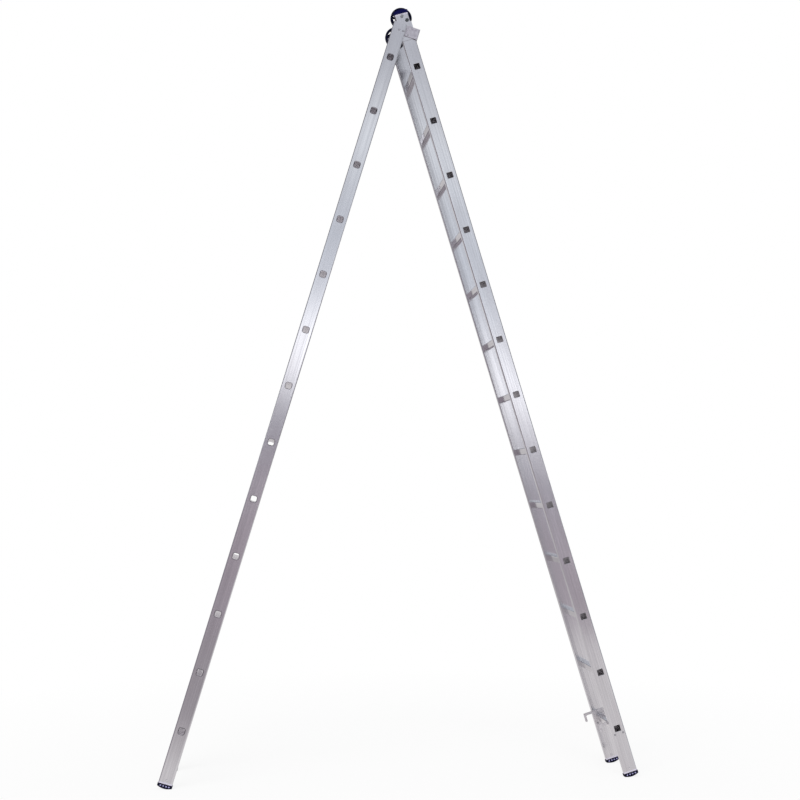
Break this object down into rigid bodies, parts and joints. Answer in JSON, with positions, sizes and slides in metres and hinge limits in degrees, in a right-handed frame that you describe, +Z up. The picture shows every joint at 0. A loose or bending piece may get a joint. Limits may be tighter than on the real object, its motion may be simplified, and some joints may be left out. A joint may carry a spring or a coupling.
{
  "type": "extension ladder",
  "caption": "Aluminium extension ladder standing open as an A-frame: a fly section slides in pivoting guides on the base section, with hooks, wheels and round-soled feet.",
  "frame": {"origin": "middle of the bounding box, on the ground under the feet", "axes": "+Z up, +X from the base section's feet to the fly section's feet, +Y along the rungs"},
  "size_m": [2.4446, 0.4496, 4.0173],
  "materials": {
    "stiles": "mill-finish extrusion",
    "rungs": "fluted mill finish",
    "feet": "moulded, matt",
    "head_caps": "moulded, matt",
    "wheels": "moulded, matt",
    "brackets": "zinc plated",
    "guide_shoes": "mill-finish channel",
    "hooks": "cut plate",
    "rivets": "plain",
    "stop_bolts": "dark phosphate",
    "fasteners": "zinc plated"
  },
  "bodies": {
    "base_section": {"base_stile_near": "stiles", "base_stile_far": "stiles", "base_rung_01": "rungs", "base_rung_02": "rungs", "base_rung_03": "rungs", "base_rung_04": "rungs", "base_rung_05": "rungs", "base_rung_06": "rungs", "base_rung_07": "rungs", "base_rung_08": "rungs", "base_rung_09": "rungs", "base_rung_10": "rungs", "base_rung_11": "rungs", "base_rung_12": "rungs", "base_rung_13": "rungs", "base_foot_near": "feet", "base_foot_far": "feet", "base_foot_rivets": "rivets", "guide_bracket_near": "brackets", "guide_bracket_far": "brackets", "bracket_rivets": "rivets", "guide_pivot_pins": "fasteners"},
    "fly_guides": {"guide_shoe_near": "guide_shoes", "guide_shoe_far": "guide_shoes"},
    "fly_section": {"fly_stile_near": "stiles", "fly_stile_far": "stiles", "fly_rung_01": "rungs", "fly_rung_02": "rungs", "fly_rung_03": "rungs", "fly_rung_04": "rungs", "fly_rung_05": "rungs", "fly_rung_06": "rungs", "fly_rung_07": "rungs", "fly_rung_08": "rungs", "fly_rung_09": "rungs", "fly_rung_10": "rungs", "fly_rung_11": "rungs", "fly_rung_12": "rungs", "fly_rung_13": "rungs", "fly_foot_near": "feet", "fly_foot_far": "feet", "fly_foot_rivets": "rivets", "fly_cap_near": "head_caps", "fly_cap_far": "head_caps", "hook_near": "hooks", "hook_far": "hooks", "hook_rivets": "rivets", "axle_bolts": "fasteners", "axle_nuts": "fasteners", "axle_washers": "fasteners", "stop_bolts": "stop_bolts", "stop_nuts": "stop_bolts"},
    "wheel_near": {"wheel_near": "wheels"},
    "wheel_far": {"wheel_far": "wheels"}
  },
  "joints": [
    {"name": "fold", "type": "hinge", "parent": "base_section", "child": "fly_guides", "pos_m": [0.02846, 0, 3.85668], "axis": [0, 1, 0], "range_deg": [0, 32.6]},
    {"name": "extend", "type": "slide", "parent": "fly_guides", "child": "fly_section", "axis": [-0.2884, 0, 0.9575], "range_m": [0, 2.85]},
    {"name": "wheel_near_spin", "type": "hinge", "parent": "fly_section", "child": "wheel_near", "pos_m": [-0.00288, 0, 3.96076], "axis": [0, 1, 0], "continuous": true},
    {"name": "wheel_far_spin", "type": "hinge", "parent": "fly_section", "child": "wheel_far", "pos_m": [-0.00288, 0, 3.96076], "axis": [0, 1, 0], "continuous": true}
  ]
}
